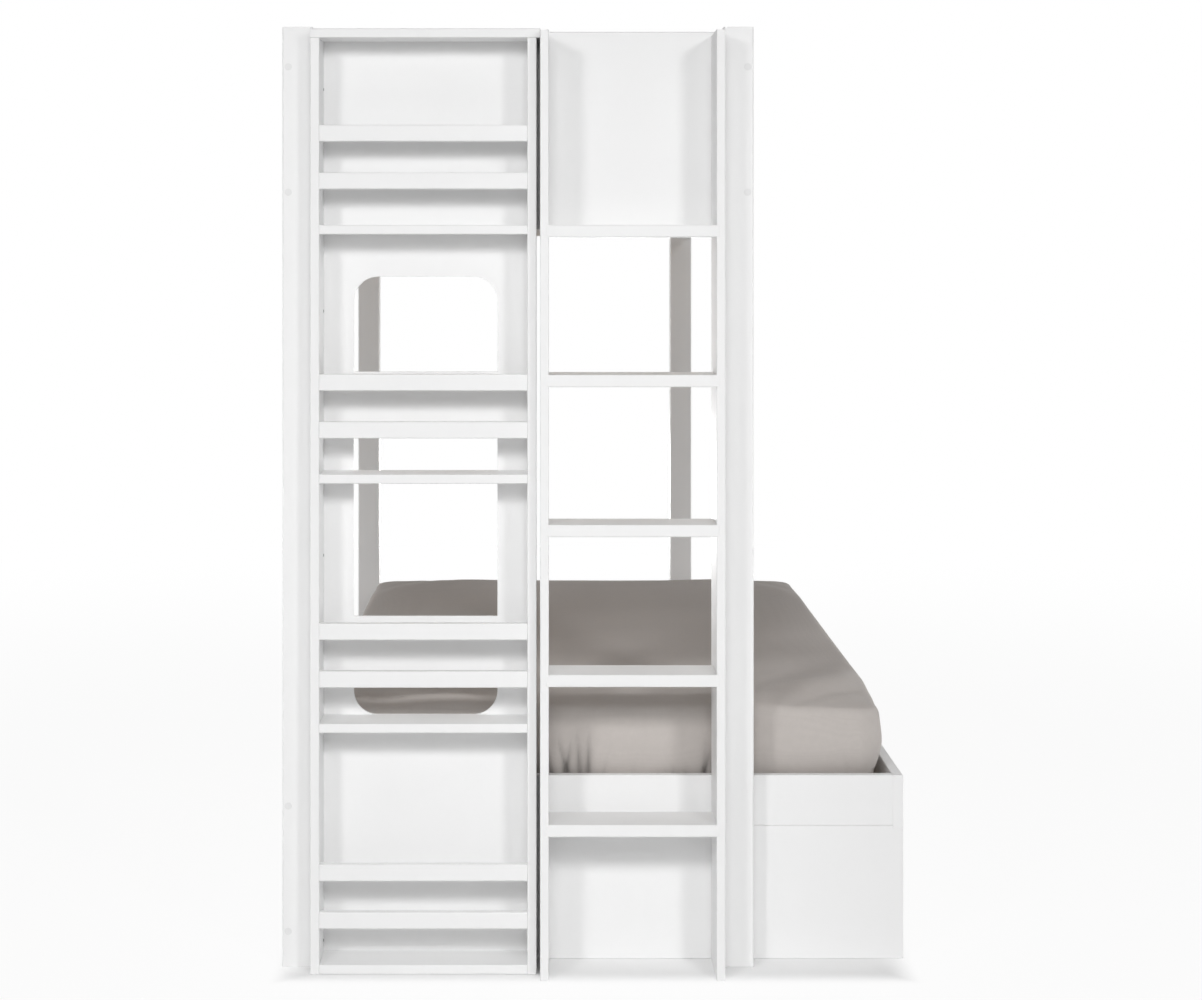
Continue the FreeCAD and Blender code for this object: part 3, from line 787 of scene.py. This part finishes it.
def drag(place, middle, half, seed):
    """The height of the folds that run across the top at each corner."""
    depths = [half[axis] - abs(place[axis] - middle[axis]) for axis in (0, 1)]
    across = (DRAG_REACH - sum(depths)) / MM / math.sqrt(2)
    along = (abs(place.x - middle.x) - half.x) - (abs(place.y - middle.y) - half.y)
    signed = [math.copysign(key, place[axis] - middle[axis]) for axis, key in enumerate(CORNER_KEY)]
    corner = Vector((*signed, seed))
    total = 0.0
    for number, (offset, rise, width) in enumerate(DRAG_FOLDS):
        bend = FOLD_BEND * noise.noise(corner + Vector((along * BEND_RATE, number * BEND_STRIDE, 0)))
        drift = noise.noise(corner + Vector((along * FOLD_RATE, 0, number * FOLD_STRIDE)))
        fade = at_least(LEAST_FOLD, smooth_step(drift + FOLD_SHIFT))
        total += rise * fade * math.exp(-((across - offset - bend) / width) ** 2)
    near = FAR_SHARE if place.y > middle.y else 1
    return total * MM * near * smooth_step(min(depths) / DRAG_FADE)


def finer_sides(shape, low):
    """Splits the level edges of the lower sides in two."""
    level = [edge for edge in shape.edges
             if abs(edge.verts[0].co.z - edge.verts[1].co.z) < LEVEL_SLOPE * edge.calc_length()
             and max(vertex.co.z for vertex in edge.verts) < low.z + FINE_RISE]
    bmesh.ops.subdivide_edges(shape, edges=level, cuts=1)


def grouped(place, seed):
    """How deep the creases are at a place, by the group they belong to."""
    group_at = Vector((place.x * GROUP_RATE + GROUP_SHIFT, place.y * GROUP_RATE, seed))
    return at_least(LEAST_GROUP, smooth_step(noise.noise(group_at) * GROUP_CONTRAST + 0.5))


def gathered(shape, low, high, seed):
    """Moves the sides' points for the gathers, and the top's for folds and faint waves."""
    shape.normal_update()
    middle = (low + high) / 2
    half = (high - low) / 2
    # The crease depth is also kept on the mesh, where the weave paints shade with it.
    shade = shape.verts.layers.float.new("crease")
    moves = []
    for vertex in shape.verts:
        place = vertex.co
        side = smooth_step((high.z - EDGE / 2 - place.z) / EDGE)
        move = 0.0
        if side > 0 and place.z < low.z + FINE_RISE:
            turned = abs(vertex.normal.x) > abs(vertex.normal.y)
            run = place.y if turned else place.x
            key = seed + CREASE_KEY + SIDE_KEY * turned
            vertex[shade] = grouped(place, seed) * crease(run, place.z - low.z, key)
            move -= GATHER_DEPTH * vertex[shade]
        move += SIDE_WAVE * side * (wave(place, SIDE_RATES, seed * 2) - SIDE_BIAS)
        top_wave = TOP_WAVE * wave(place, TOP_RATES, seed * 3)
        move += (1 - side) * (top_wave + drag(place, middle, half, seed))
        moves.append(vertex.normal * move)
    for vertex, move in zip(shape.verts, moves):
        vertex.co += move


def closed(shape, low, high):
    """Turns the lowest rim under the mattress and closes the bottom."""
    middle = (low + high) / 2
    rim = [edge for edge in shape.edges if edge.is_boundary]
    made = bmesh.ops.extrude_edge_only(shape, edges=rim)
    for vertex in new_points(made):
        for axis in (0, 1):
            offset = vertex.co[axis] - middle[axis]
            reach = (high[axis] - low[axis]) / 2
            vertex.co[axis] = middle[axis] + offset * (1 - HEM_TUCK / reach)
        vertex.co.z = low.z
    inner = [edge for edge in shape.edges if edge.is_boundary]
    bmesh.ops.holes_fill(shape, edges=inner, sides=0)


def fitted_sheet(node, seed):
    """A mattress in its sheet, standing for a node."""
    low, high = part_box(node)
    made = settled(mattress_form(low, high), low)
    divide = made.modifiers.new("finer", "SUBSURF")
    divide.levels = divide.render_levels = 1
    applied(made)
    shape = bmesh.new()
    shape.from_mesh(made.data)
    bpy.data.objects.remove(made)
    finer_sides(shape, low)
    gathered(shape, low, high, seed)
    for vertex in shape.verts:
        vertex.co.z = max(vertex.co.z, low.z)
    closed(shape, low, high)
    sheet = piece("sheeted_" + node, shape, "frame", sheet_cotton)
    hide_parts(node)
    print(sheet.name, len(sheet.data.polygons), "faces")


for node, seed in SEEDS.items():
    fitted_sheet(node, seed)

# %% [markdown]
# ## Floor, background, light and camera
#
# The photograph is a studio picture: white all round, with soft light from the front. A broad lamp
# stands high in front of the bed, two smaller ones beside it and a wide fill behind it, lower down.
# Three wide flat strips near the ground keep the back and the sides from going grey. The floor is
# pale and takes the bed's shadow under and beside it, and glows white away from it. The camera
# stands level at eye height, and its lens is shifted, as in the photograph, so that upright lines
# stay upright.

# %% Floor
FLOOR_RADIUS = 14.0
FLOOR_DROP = 0.4 * MM       # below the feet, so the two don't share a plane
FLOOR_SHADE = (0.90, 0.90, 0.90, 1)
FADE_START = 1.6
FADE_END = 6.0
NEAR_GLOW = 0.93            # share of glow beside the bed; the rest shows its shadow
FOOTPRINT_EDGE = (-0.06, 0.02)  # from inside to outside of the bed's footprint, the glow sets in


def floor_material():
    """A pale floor that glows white where the bed casts no shadow."""
    made, tree, shader = material("pale_floor", Roughness=0.7)
    shader.inputs["Base Color"].default_value = FLOOR_SHADE
    shader.inputs["Specular IOR Level"].default_value = 0.2
    place = add(tree, "ShaderNodeTexCoord").outputs["Object"]
    length = add(tree, "ShaderNodeVectorMath", operation="LENGTH")
    outside = add(tree, "ShaderNodeVectorMath", operation="ABSOLUTE")
    beyond = add(tree, "ShaderNodeVectorMath", operation="SUBTRACT")
    beyond.inputs[1].default_value = (cad_high.x, cad_high.y, 0)
    sides = add(tree, "ShaderNodeSeparateXYZ")
    near = add(tree, "ShaderNodeMapRange", interpolation_type="SMOOTHSTEP", From_Min=FOOTPRINT_EDGE[0],
               From_Max=FOOTPRINT_EDGE[1])
    fade = add(tree, "ShaderNodeMapRange", interpolation_type="SMOOTHSTEP", From_Min=FADE_START,
               From_Max=FADE_END, To_Min=NEAR_GLOW, To_Max=1.0)
    light_path = add(tree, "ShaderNodeLightPath")
    glow = add(tree, "ShaderNodeEmission", Strength=1.0)
    mix = add(tree, "ShaderNodeMixShader")
    join(tree, place, length.inputs[0])
    join(tree, length.outputs["Value"], fade.inputs["Value"])
    join(tree, place, outside.inputs[0])
    join(tree, outside.outputs["Vector"], beyond.inputs[0])
    join(tree, beyond.outputs["Vector"], sides.inputs["Vector"])
    join(tree, math_node(tree, "MAXIMUM", sides.outputs["X"], sides.outputs["Y"]), near.inputs["Value"])
    seen = math_node(tree, "MAXIMUM", light_path.outputs["Is Camera Ray"],
                     light_path.outputs["Is Glossy Ray"])
    glowing = math_node(tree, "MULTIPLY", fade.outputs["Result"], near.outputs["Result"])
    join(tree, math_node(tree, "MULTIPLY", seen, glowing), mix.inputs["Fac"])
    join(tree, shader.outputs["BSDF"], mix.inputs[1])
    join(tree, glow.outputs["Emission"], mix.inputs[2])
    join(tree, mix.outputs["Shader"], tree.nodes["Material Output"].inputs["Surface"])
    return made


shape = bmesh.new()
bmesh.ops.create_circle(shape, cap_ends=True, radius=FLOOR_RADIUS, segments=64)
bmesh.ops.translate(shape, vec=(0, 0, -FLOOR_DROP), verts=shape.verts)
mesh = bpy.data.meshes.new("floor")
shape.to_mesh(mesh)
shape.free()
mesh.materials.append(floor_material())
floor = bpy.data.objects.new("floor", mesh)
bpy.context.scene.collection.objects.link(floor)
print("floor radius:", FLOOR_RADIUS, "m")

# %% World
ROOM_LIGHT = 0.23
world = bpy.data.worlds.new("studio")
world.use_nodes = True
bpy.context.scene.world = world
room = world.node_tree
for node in list(room.nodes):
    room.nodes.remove(node)
path = add(room, "ShaderNodeLightPath")
seen = math_node(room, "MAXIMUM", path.outputs["Is Camera Ray"], path.outputs["Is Glossy Ray"])
seen = math_node(room, "MAXIMUM", seen, path.outputs["Is Transmission Ray"])
strength = math_node(room, "MAXIMUM", seen, ROOM_LIGHT)
background = add(room, "ShaderNodeBackground", Color=(1, 1, 1, 1))
join(room, strength, background.inputs["Strength"])
join(room, background.outputs["Background"], add(room, "ShaderNodeOutputWorld").inputs["Surface"])
print("room light:", ROOM_LIGHT)

# %% Soft lights
FRONT_AIM = (-0.1, -0.9)
OPEN = 180                  # degrees of spread of a plain soft box
GRID = 90                   # a grid narrows it, so the upper boards don't burn out
FRONT_LIGHTS = {
    "front": {"place": (-0.1, -5.5, 2.9), "size": 1.3, "watts": 30.0, "aim": 0.9, "spread": OPEN},
    "front_grid": {"place": (-0.1, -5.5, 2.9), "size": 1.3, "watts": 7.3, "aim": 0.1, "spread": GRID},
    "side_left": {"place": (-2.1, -5.0, 2.9), "size": 0.6, "watts": 12.7, "aim": 0.1, "spread": GRID},
    "side_right": {"place": (1.9, -5.0, 2.9), "size": 0.6, "watts": 12.7, "aim": 0.1, "spread": GRID},
    "low_fill": {"place": (-0.1, -7.0, 1.0), "size": 2.5, "watts": 16.5, "aim": 0.9, "spread": OPEN},
}
STRIP_SIZE = (3.0, 0.4)     # wide and flat
STRIP_HEIGHT = 0.22         # lower than the mattress, so its top isn't lit from behind
STRIP_WATTS = 105
STRIPS = {"back_strip": (0.0, 6.5), "left_strip": (-6.0, 1.2), "right_strip": (6.0, 1.2)}
STRIP_AIM = (0.0, 0.3)


def area_light(name, place, target, size, watts, spread):
    """A rectangular area light that faces a point and isn't seen itself."""
    lamp = bpy.data.lights.new(name, "AREA")
    lamp.shape = "RECTANGLE"
    lamp.size, lamp.size_y = size
    lamp.energy = watts
    lamp.spread = math.radians(spread)
    holder = bpy.data.objects.new(name, lamp)
    holder.location = place
    holder.rotation_euler = (Vector(target) - Vector(place)).to_track_quat("-Z", "Y").to_euler()
    holder.visible_camera = False
    bpy.context.scene.collection.objects.link(holder)


for name, light in FRONT_LIGHTS.items():
    area_light(name, light["place"], (*FRONT_AIM, light["aim"]), (light["size"], light["size"]),
               light["watts"], light["spread"])
for name, place in STRIPS.items():
    area_light(name, (*place, STRIP_HEIGHT), (*STRIP_AIM, STRIP_HEIGHT), STRIP_SIZE, STRIP_WATTS, OPEN)
print("lights:", list(FRONT_LIGHTS) + list(STRIPS))

# %% Camera
EYE_HEIGHT = 1.4828
EYE_ASIDE = 0.0477          # right of the middle of the bunk's four posts
EYE_BACK = 4.841            # in front of the near posts
FRAME_WIDTH = 1202          # of the photograph, in pixels
FRAME_HEIGHT = 1000
FOCAL_PIXELS = 2334.0
VANISHING = (541.0, 252.0)  # where the level lines that run away from the camera meet
SENSOR = 36.0
lens = bpy.data.cameras.new("camera")
lens.sensor_width = SENSOR
lens.lens = FOCAL_PIXELS / FRAME_WIDTH * SENSOR
lens.shift_x = (FRAME_WIDTH / 2 - VANISHING[0]) / FRAME_WIDTH
lens.shift_y = -(FRAME_HEIGHT / 2 - VANISHING[1]) / FRAME_WIDTH
camera = bpy.data.objects.new("camera", lens)
left_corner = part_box("post_near_left")[0]
right_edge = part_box("post_near_right")[1].x
camera.location = ((left_corner.x + right_edge) / 2 + EYE_ASIDE, left_corner.y - EYE_BACK, EYE_HEIGHT)
camera.rotation_euler = (math.radians(90), 0, 0)
bpy.context.scene.collection.objects.link(camera)
bpy.context.scene.camera = camera
bpy.context.scene.view_settings.view_transform = "Standard"
print("lens:", round(lens.lens, 2), "mm")
